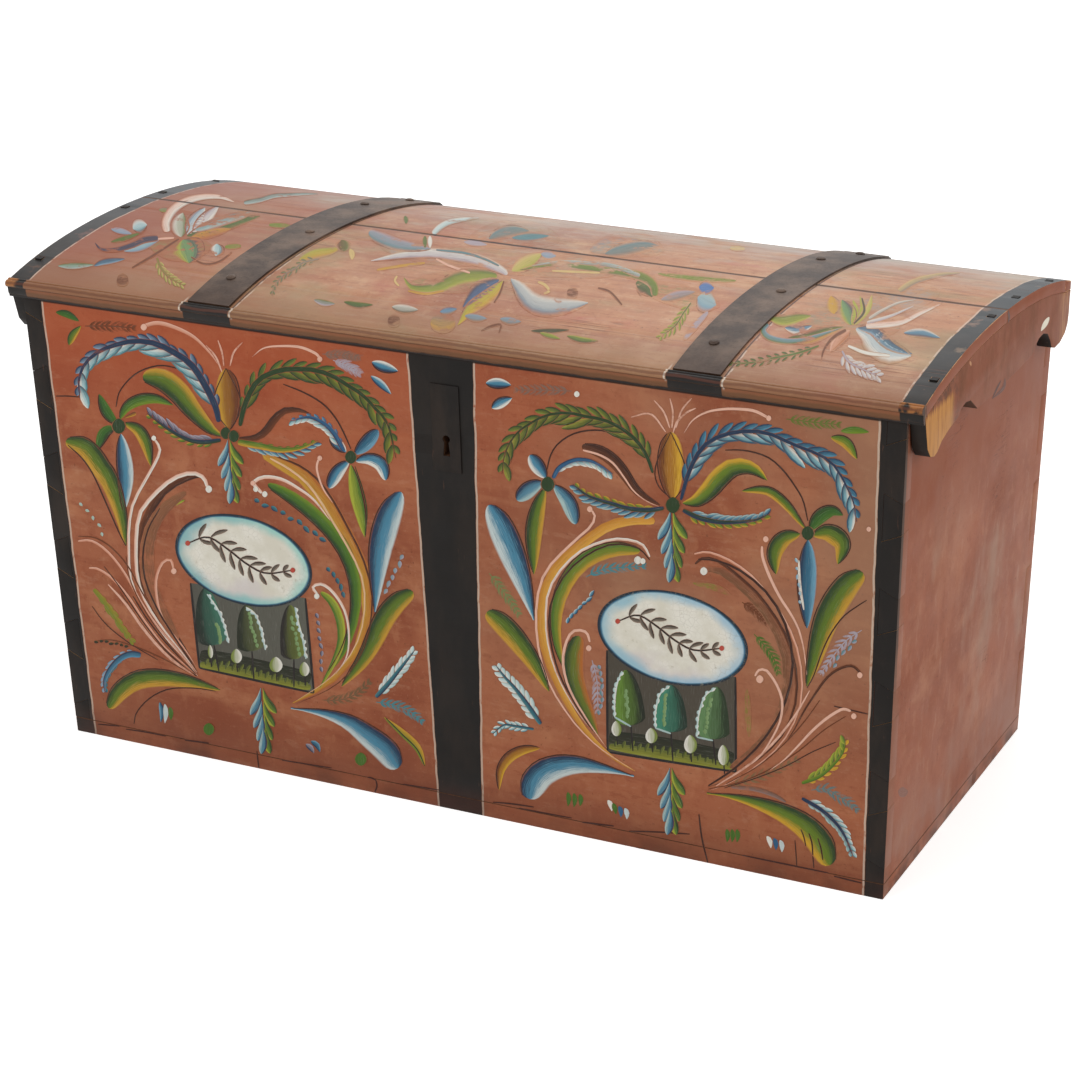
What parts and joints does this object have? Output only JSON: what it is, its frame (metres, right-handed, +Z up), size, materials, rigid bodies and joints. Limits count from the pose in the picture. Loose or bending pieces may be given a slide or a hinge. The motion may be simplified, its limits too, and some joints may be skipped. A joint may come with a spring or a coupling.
{
  "type": "storage chest",
  "caption": "Long wooden storage chest on flat boards, with leaning sides, a low arched lid on iron strap hinges and end cleats, a keyhole lock and an inner till.",
  "frame": {"origin": "on the floor under the middle of the object's bounding box", "axes": "+X along the front, to the right of someone who faces it; +Y from the front to the hinged back; +Z up"},
  "size_m": [1.158, 0.5394, 0.6316],
  "materials": {
    "painted_wood": "aged oil paint on pine boards, worn satin",
    "bare_wood": "bare planed pine, aged",
    "peg_wood": "dark split hardwood pegs",
    "strap_iron": "forged iron, painted dark, worn",
    "bare_iron": "forged iron, bare and dull",
    "painted_iron": "thin sheet iron under dark paint"
  },
  "bodies": {
    "chest": {"back_leaf_left": "strap_iron", "back_leaf_right": "strap_iron", "back_panel": "painted_wood", "bottom_back_peg_1": "peg_wood", "bottom_back_peg_2": "peg_wood", "bottom_front_peg_1": "peg_wood", "bottom_front_peg_2": "peg_wood", "bottom_front_plank": "bare_wood", "bottom_rear_plank": "bare_wood", "front_panel": "painted_wood", "hinge_pin_left": "bare_iron", "hinge_pin_right": "bare_iron", "keyhole_plate": "painted_iron", "leaf_nail_left_1": "strap_iron", "leaf_nail_left_2": "strap_iron", "leaf_nail_left_3": "strap_iron", "leaf_nail_right_1": "strap_iron", "leaf_nail_right_2": "strap_iron", "leaf_nail_right_3": "strap_iron", "left_end": "painted_wood", "lock_cover": "bare_iron", "lock_drill_pin": "bare_iron", "lock_nail_1": "strap_iron", "lock_nail_2": "strap_iron", "lock_nail_3": "strap_iron", "lock_nail_4": "strap_iron", "lock_plate": "bare_iron", "lock_spring": "bare_iron", "right_end": "painted_wood", "till_bottom": "bare_wood", "till_wall": "bare_wood"},
    "lid": {"lid_back_strip": "painted_wood", "lid_front_board": "painted_wood", "lid_front_moulding": "painted_wood", "lid_left_cleat": "painted_wood", "lid_middle_board": "painted_wood", "lid_peg_left_1": "peg_wood", "lid_peg_left_2": "peg_wood", "lid_peg_left_3": "peg_wood", "lid_peg_left_4": "peg_wood", "lid_peg_right_1": "peg_wood", "lid_peg_right_2": "peg_wood", "lid_peg_right_3": "peg_wood", "lid_peg_right_4": "peg_wood", "lid_right_cleat": "painted_wood", "lid_staple": "bare_iron", "lid_strap_left": "strap_iron", "lid_strap_right": "strap_iron", "staple_nail_1": "strap_iron", "staple_nail_2": "strap_iron", "strap_nail_left_1": "strap_iron", "strap_nail_left_2": "strap_iron", "strap_nail_left_3": "strap_iron", "strap_nail_left_4": "strap_iron", "strap_nail_right_1": "strap_iron", "strap_nail_right_2": "strap_iron", "strap_nail_right_3": "strap_iron", "strap_nail_right_4": "strap_iron"},
    "bolt": {"lock_bolt": "bare_iron"}
  },
  "joints": [
    {"name": "lid_hinge", "type": "hinge", "parent": "chest", "child": "lid", "pos_m": [0, 0.2637, 0.5846], "axis": [-1, 0, 0], "range_deg": [0, 100]},
    {"name": "bolt_slide", "type": "slide", "parent": "chest", "child": "bolt", "axis": [1, 0, 0], "range_m": [0, 0.012]}
  ]
}
